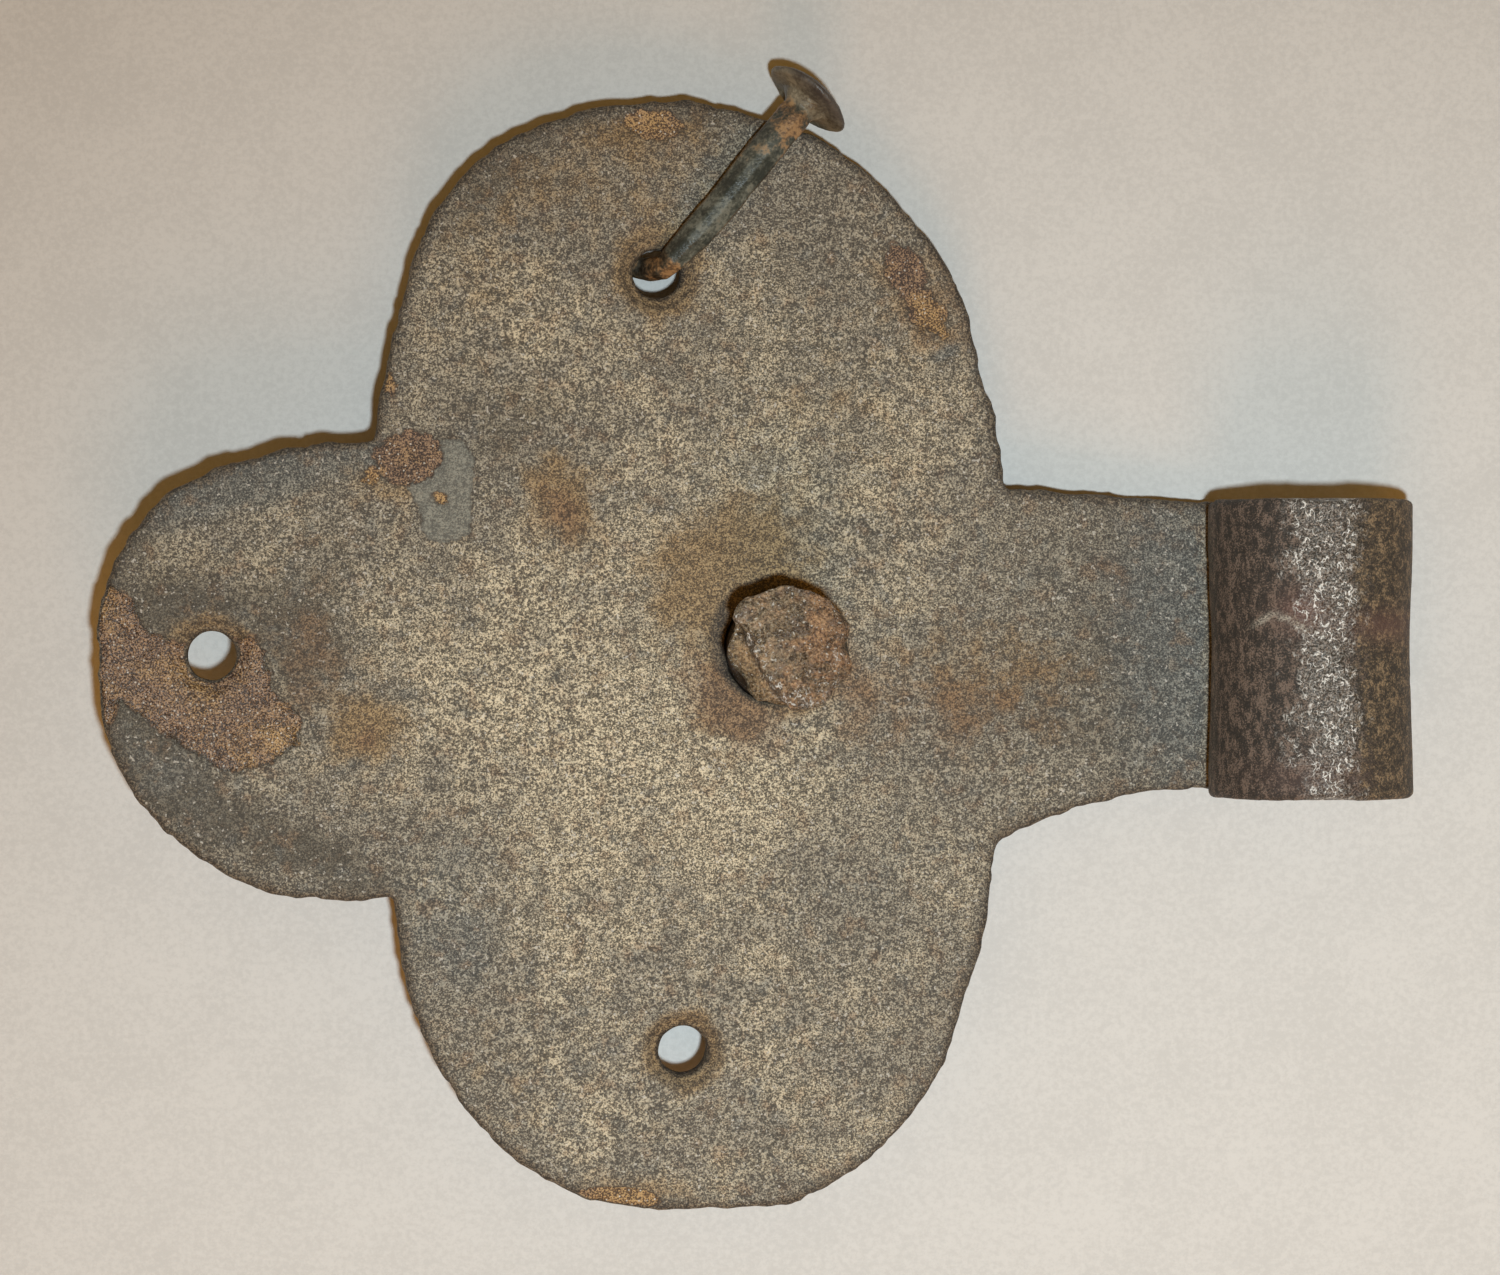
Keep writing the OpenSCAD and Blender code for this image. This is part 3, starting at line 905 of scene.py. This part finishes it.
def plate_iron():
    paint = Paint("plate_iron")
    fine = paint.noise(0.27, 2, 0.6, distortion=0.3)
    small = paint.noise(0.60, 3, 0.65, shift=5.1)
    coarse = paint.noise(1.9, 3, 0.6, shift=0.7)
    grain = paint.noise(0.22, 2, shift=0.3)
    patchy = paint.noise(5.0, 4, 0.6, shift=0.1)
    broad = paint.noise(19, 3, 0.5, shift=0.2)
    wander = paint.spread(patchy, 0.3, 0.7, -0.20, 0.20)
    drift = paint.sum(wander, paint.spread(broad, 0.3, 0.7, -0.14, 0.14))
    ragged = paint.spread(coarse, 0.3, 0.7, -0.6, 0.6)

    # grey-brown iron with a dense pale speckle where dust lies, and smooth dark skin almost without it
    tone = paint.spread(paint.weighed((fine, 0.50), (small, 0.32), (coarse, 0.18)), 0.422, 0.592)
    colour = paint.tones(tone, IRON)
    colour = covered(paint, colour, tone, "dust", DUST, drift, 1.0)
    colour = covered(paint, colour, tone, "skin", SKIN, wander, 0.9)
    colour = covered(paint, colour, tone, "blue", BLUE, wander, 0.8)
    redder = paint.spread(paint.noise(3.4, 3, 0.6, shift=4.1), 0.54, 0.68, 0.0, 0.40)
    colour = paint.blend(redder, colour, paint.tones(tone, RUST))
    bluer = paint.spread(paint.noise(3.0, 3, 0.6, shift=8.3), 0.55, 0.70, 0.0, 0.45)
    colour = paint.blend(bluer, colour, paint.tones(tone, BLUE))
    # painted glints: rare white specks, where a lamp would glint on the iron
    glint_specks = paint.spread(paint.noise(0.6, 1, 0.5, shift=1.9), 0.67, 0.73)
    colour = paint.blend(paint.times(glint_specks, 0.6), colour, GLINT_SPECK)
    colour = covered(paint, colour, tone, "ochre", OCHRE, wander, 0.85)
    colour = covered(paint, colour, tone, "rust", RUST, wander, 0.85)

    # a darker ragged rim along the edges, and painted shade round the bolt and in the holes
    worn = paint.spread(paint.sum(paint.field("rim"), paint.times(ragged, 0.5)), 0.25, 0.72)
    # adds the painted shade round the bolt and in the holes' walls, and the dishes' darker rings
    worn = paint.node("Math", {0: worn, 1: paint.field("painted_shade_and_rings")}, operation="MAXIMUM").outputs[0]
    colour = paint.blend(paint.times(worn, 0.85), colour, paint.tones(tone, DARK_RIM_AND_SHADE))

    # a flake of blue scale, and scabs and spots where the skin is gone
    flake_edge = paint.sum(paint.field("flake_edge"), paint.times(ragged, 0.5))
    scale = paint.tones(tone, SCALE)
    colour = paint.blend(paint.times(paint.spread(flake_edge, -0.1, 0.1), 0.85), colour, scale)
    # painted shade along the flake's raised edge
    colour = painted_step_shade(paint, colour, flake_edge, 0.35)
    scab = scab_colour(paint, fine, coarse, patchy)
    for name in ("scab_edge", "spot_edge"):
        edge = paint.sum(paint.field(name), ragged)
        colour = paint.blend(paint.spread(edge, -0.15, 0.15), colour, scab)
        # painted shade along the step at each scab's and spot's edge
        colour = painted_step_shade(paint, colour, edge, 0.6)

    barrel = paint.field("barrel")
    colour = paint.blend(barrel, colour, eye_colour(paint, fine, small, coarse))
    crest = paint.times(eye_crest(paint), barrel)
    bare = paint.spread(paint.field("scab_edge"), -0.1, 0.1)

    hammered = paint.noise(0.95, 1, 0.5, shift=2.7)
    height = paint.sum(paint.times(hammered, paint.sum(paint.times(crest, 1.6), 0.25)),
                       paint.times(coarse, paint.sum(paint.times(bare, 2.2), 0.3)))
    relief = paint.bump(height, 0.34)
    relief = paint.bump(fine, 0.22, relief)
    relief = paint.bump(grain, 0.08, relief)
    glossy = paint.weighed((crest, 1.0), (bare, 0.7), (paint.field("skin"), 0.35))
    shine = paint.spread(glossy, 0.0, 1.0, 0.74, 0.34)
    paint.shader.inputs["IOR"].default_value = IRON_IOR
    return paint.finish(colour, shine, relief)


def covered(paint, colour, tone, field, colours, drift, strength):
    """The colour with another iron laid over it where a field is high."""
    amount = paint.spread(paint.sum(paint.field(field), drift), 0.08, 0.70, 0.0, strength)
    return paint.blend(amount, colour, paint.tones(tone, colours))


def painted_step_shade(paint, colour, edge, strength):
    """Painted shade: a thin dark line along the edge of a step, where the step shades the surface."""
    inner = paint.spread(edge, 0.5, 0.05)
    outer = paint.spread(edge, -0.45, -0.05)
    return paint.blend(paint.times(paint.times(inner, outer), strength), colour, STEP_SHADE)


def scab_colour(paint, fine, coarse, patchy):
    """Pitted rust, purple-brown to orange, with tiny white specks of painted glint."""
    tone = paint.spread(paint.weighed((fine, 0.78), (coarse, 0.22)), 0.43, 0.59)
    bright = paint.sum(paint.field("orange"), paint.spread(patchy, 0.30, 0.70, -0.30, 0.40))
    bright = paint.spread(bright, 0.0, 1.0)
    scab = paint.blend(bright, paint.tones(tone, SCAB), paint.tones(tone, SCAB_ORANGE))
    # painted glints: tiny white specks
    glint_speck = paint.spread(paint.cells(0.85), 0.22, 0.12)
    return paint.blend(paint.times(glint_speck, 0.7), scab, GLINT_SPECK)


def eye_colour(paint, fine, small, coarse):
    """The rolled eye: dark streaks on the left, a rubbed crest with painted sheen and glints, and speckled
    brown on the right.
    """
    drawn = paint.noise(1.3, 3, 0.65, (1, 0.55, 1))
    streaks = paint.spread(paint.weighed((drawn, 0.5), (fine, 0.5)), 0.42, 0.60)
    left = paint.tones(streaks, EYE_LEFT)
    mottle = paint.spread(paint.weighed((fine, 0.35), (small, 0.35), (coarse, 0.30)), 0.42, 0.61)
    right = paint.tones(mottle, EYE_RIGHT)
    rubbed = paint.tones(paint.spread(fine, 0.40, 0.62), EYE_RUBBED_SHEEN)
    x = paint.node("SeparateXYZ", {0: paint.place}).outputs[0]
    shift = paint.spread(coarse, 0.3, 0.7, -2 * MM, 2 * MM)
    colour = paint.blend(paint.spread(paint.sum(x, shift), 1 * MM, 6 * MM), left, right)
    crest = eye_crest(paint)
    # the crest is lighter: rubbed iron, with painted sheen where the lamp's highlight runs along it
    colour = paint.blend(paint.times(crest, 0.7), colour, rubbed)
    colour = paint.blend(paint.times(paint.field("red"), 0.5), colour, EYE_RED)
    scratch = paint.times(paint.field("scratch"), paint.spread(fine, 0.42, 0.56, 0.2, 1.0))
    colour = paint.blend(scratch, colour, SCRATCH)
    # painted glints along the crest
    return paint.blend(paint.times(painted_glint_strokes(paint), crest), colour, GLINT)


def painted_glint_strokes(paint):
    """Painted glints: short wavy strokes, as where hammered iron catches the lamp."""
    wavy = paint.noise(1.1, 2, 0.5, (1, 0.75, 1), shift=6.2, distortion=0.4)
    off_line = paint.node("Math", {0: paint.sum(wavy, -0.5)}, operation="ABSOLUTE").outputs[0]
    stroke = paint.spread(off_line, 0.036, 0.012)
    broken = paint.spread(paint.noise(1.3, 3, 0.6, shift=3.9), 0.46, 0.54)
    return paint.times(stroke, broken)


def eye_crest(paint):
    """1 along the eye's rubbed crest, where its sheen and glints are painted, and 0 on its sides."""
    x = paint.node("SeparateXYZ", {0: paint.place}).outputs[0]
    wander = paint.sum(paint.spread(paint.noise(6, 3), 0.3, 0.7, -2 * MM, 2 * MM),
                       paint.spread(paint.noise(1.2, 2), 0.3, 0.7, -1 * MM, 1 * MM))
    x = paint.sum(x, wander)
    left = paint.spread(x, -7.5 * MM, -3.0 * MM)
    right = paint.spread(x, 5.0 * MM, 1.0 * MM)
    return paint.times(left, right)


def bolt_iron():
    paint = Paint("bolt_iron")
    lumps = paint.noise(3.2, 4, 0.6)
    fine = paint.noise(0.42, 3, 0.65)
    grain = paint.noise(0.25, 2)
    tone = paint.spread(paint.weighed((fine, 0.6), (lumps, 0.4)), 0.37, 0.63)
    grey = paint.tones(tone, BOLT_GREY)
    brown = paint.tones(tone, BOLT_BROWN)
    redness = paint.sum(paint.times(paint.field("orange"), 0.6), paint.spread(lumps, 0.3, 0.7, -0.2, 0.5))
    colour = paint.blend(paint.spread(redness, 0.1, 0.7), grey, brown)
    patch = paint.spread(paint.noise(2.2, 3, 0.6, shift=7.1), 0.52, 0.66, 0.0, 0.5)
    colour = paint.blend(patch, colour, BOLT_PATCH)
    pit = paint.spread(paint.noise(1.1, 3, 0.6, shift=3.3), 0.44, 0.36, 0.0, 0.7)
    colour = paint.blend(pit, colour, BOLT_PIT)
    below = paint.spread(paint.field("ledge_edge"), 0.0, 0.8, 0.0, 0.5)
    colour = paint.blend(below, colour, paint.tones(tone, OCHRE))
    # painted shade along the ledge's step
    colour = painted_step_shade(paint, colour, paint.field("ledge_edge"), 0.75)
    # painted glints: white specks
    glint_speck = paint.spread(paint.noise(0.55, 1, 0.5, shift=1.9), 0.66, 0.72)
    colour = paint.blend(paint.times(glint_speck, 0.8), colour, GLINT_SPECK)
    # painted glints on the stub's end
    colour = paint.blend(paint.times(painted_glint_strokes(paint), paint.field("glint")), colour, GLINT)
    # painted shade: all of the bolt but its stub's end is made nearly black
    colour = paint.blend(paint.field("end"), paint.blend(tone, *BOLT_SIDE_SHADE), colour)
    crust = paint.noise(1.1, 3, 0.6, shift=3.3)
    relief = paint.bump(crust, 1.1)
    relief = paint.bump(fine, 0.55, relief)
    relief = paint.bump(grain, 0.12, relief)
    shine = paint.spread(lumps, 0.38, 0.62, 0.24, 0.48)
    paint.shader.inputs["IOR"].default_value = IRON_IOR
    return paint.finish(colour, shine, relief)


def nail_iron():
    paint = Paint("nail_iron")
    fine = paint.noise(0.5, 3, 0.6)
    patchy = paint.noise(3.4, 4, 0.6, shift=0.4)
    tone = paint.spread(paint.weighed((fine, 0.4), (patchy, 0.6)), 0.38, 0.62)
    scale = paint.tones(tone, NAIL_SCALE)
    brown = paint.tones(tone, NAIL_BROWN)
    olive = paint.tones(tone, NAIL_OLIVE)
    colour = paint.blend(paint.times(paint.field("side"), 0.9), scale, brown)
    colour = paint.blend(paint.field("head"), colour, olive)
    colour = paint.blend(paint.times(paint.field("rim"), 0.8), colour, NAIL_RIM)
    rusting = paint.sum(paint.field("rust"), paint.spread(patchy, 0.35, 0.65, -0.35, 0.35))
    rust = paint.spread(paint.sum(rusting, paint.spread(fine, 0.3, 0.7, -0.12, 0.12)), 0.35, 0.85)
    rusty = paint.tones(tone, NAIL_RUST)
    colour = paint.blend(paint.times(rust, 0.75), colour, rusty)
    relief = paint.bump(fine, 0.12)
    shine = paint.spread(patchy, 0.35, 0.65, 0.34, 0.58)
    return paint.finish(colour, shine, relief)


def floor_paper():
    paint = Paint("floor_paper")
    mottle = paint.weighed((paint.noise(0.9, 3, 0.7), 0.7), (paint.noise(14, 4, 0.6), 0.3))
    colour = paint.blend(paint.spread(mottle, 0.38, 0.62), *PAPER)
    relief = paint.bump(paint.noise(1.2, 2), 0.03)
    # beyond the flash's reach the paper glows as pale as the backdrop
    gap = paint.node("VectorMath", {0: paint.place, 1: POOL_MIDDLE}, operation="DISTANCE")
    glow = paint.spread(gap.outputs["Value"], GLOW_BEGINS, GLOW_FULL)
    paint.shader.inputs["Emission Color"].default_value = GLOW_COLOUR
    paint.feed(paint.shader.inputs["Emission Strength"], glow)
    return paint.finish(colour, 0.75, relief)


# ---------- the studio

RIGHT = Vector((math.cos(LEAN), 0, math.sin(LEAN)))
AWAY = Vector((0, 1, 0))
UP = Vector((-math.sin(LEAN), 0, math.cos(LEAN)))

# The flash beside the lens and a large lamp that warms the shadows: places in metres, powers in watts
FLASH_POWER = 11.2
FLASH_COLOUR = (0.84, 0.97, 1.0)
FLASH_RADIUS = 0.012
FLASH_CONE = math.radians(110)
FLASH_FROM_LENS = (0.0319, -0.0525, 0)
FLASH_AIM = (0.02, -0.26, -FLOOR_DEPTH)
LAMP_POWER = 1.5
LAMP_COLOUR = (1.0, 0.42, 0.10)
LAMP_SIZE = 0.5
LAMP_PLACE = (-0.05, -0.75, 0.6)
LAMP_AIM = (-0.08, -0.1, 0)
ROOM_FILL = (0.200, 0.108, 0.028, 1)
BACKDROP = (0.560, 0.530, 0.490, 1)


def on_floor_axes(right, away, up):
    """A point, in metres, from the eye's middle along the floor's own axes."""
    return RIGHT * right + AWAY * away + UP * up


def facing(place, x_axis, z_axis):
    """A matrix at a place that looks along -z_axis with x_axis to the right."""
    axes = Matrix((x_axis, z_axis.cross(x_axis), z_axis)).transposed()
    return Matrix.Translation(place) @ axes.to_4x4()


def build_floor():
    mesh = bpy.data.meshes.new("floor")
    corners = []
    for x, y in ((-1, -1), (1, -1), (1, 1), (-1, 1)):
        rise = (y - EYE_LENGTH / 2 * MM) * math.tan(SIDE_LEAN)
        corners.append(on_floor_axes(x, y, rise - FLOOR_DEPTH))
    mesh.from_pydata(corners, [], [(0, 1, 2, 3)])
    mesh.materials.append(floor_paper())
    floor = new_object("floor", mesh)


def camera_place():
    return on_floor_axes(-CAMERA_LEFT, CAMERA_UP, CAMERA_HEIGHT - FLOOR_DEPTH)


def build_camera():
    data = bpy.data.cameras.new("camera")
    data.lens = LENS
    camera = new_object("camera", data)
    camera.matrix_world = facing(camera_place(), RIGHT, UP)
    bpy.context.scene.camera = camera


def add_lamp(name, kind, power, colour):
    """A lamp that is still to be placed."""
    data = bpy.data.lights.new(name, kind)
    data.energy = power
    data.color = colour
    return new_object(name, data)


def build_lights():
    flash = add_lamp("flash", "SPOT", FLASH_POWER, FLASH_COLOUR)
    flash.data.shadow_soft_size = FLASH_RADIUS
    flash.data.spot_size = FLASH_CONE
    flash.data.spot_blend = 1.0
    place = camera_place() + on_floor_axes(*FLASH_FROM_LENS)
    back = (place - on_floor_axes(*FLASH_AIM)).normalized()
    flash.matrix_world = facing(place, AWAY.cross(back).normalized(), back)
    lamp = add_lamp("soft_lamp", "AREA", LAMP_POWER, LAMP_COLOUR)
    lamp.data.size = LAMP_SIZE
    place = on_floor_axes(*LAMP_PLACE)
    back = (place - on_floor_axes(*LAMP_AIM)).normalized()
    lamp.matrix_world = facing(place, RIGHT, back)


def build_room():
    """Warm fill light all round, which the camera sees as a plain pale backdrop."""
    room = bpy.data.worlds.new("room")
    room.use_nodes = True
    tree = room.node_tree
    seen = tree.nodes.new("ShaderNodeLightPath")
    mix = tree.nodes.new("ShaderNodeMix")
    mix.data_type = "RGBA"
    mix.inputs[MIX_FIRST].default_value = ROOM_FILL
    mix.inputs[MIX_SECOND].default_value = BACKDROP
    tree.links.new(seen.outputs["Is Camera Ray"], mix.inputs[MIX_AMOUNT])
    tree.links.new(mix.outputs[2], tree.nodes["Background"].inputs["Color"])
    bpy.context.scene.world = room


build_floor()
build_camera()
build_lights()
build_room()
build_plate()
build_bolt()
build_nail()
bpy.context.scene.view_settings.view_transform = "Standard"
